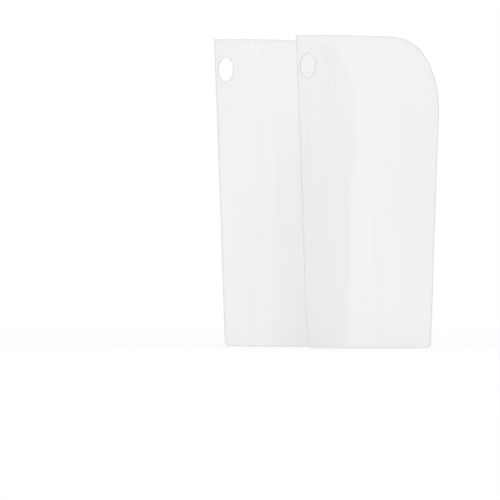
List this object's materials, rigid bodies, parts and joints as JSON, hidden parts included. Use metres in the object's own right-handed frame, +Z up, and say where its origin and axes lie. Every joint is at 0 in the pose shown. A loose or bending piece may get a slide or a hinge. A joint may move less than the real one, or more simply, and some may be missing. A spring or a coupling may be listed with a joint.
{
  "type": "boot shaper",
  "caption": "Springy milky plastic sheets, each bowed into an open half-round with a large round top corner and a finger hole, that hold boot shafts upright.",
  "frame": {"origin": "on the floor, under the middle of the pair's box", "axes": "+Z up along the sheets, -Y towards a viewer who faces the round of the bows, +X to the side of the large round corner"},
  "size_m": [0.2164, 0.1763, 0.3],
  "materials": {
    "milky_sheet": "milky-clear polypropylene sheet, even soft gloss, with bright cut edges"
  },
  "bodies": {
    "root": {"front_sheet": "milky_sheet", "rear_sheet": "milky_sheet"}
  },
  "joints": []
}
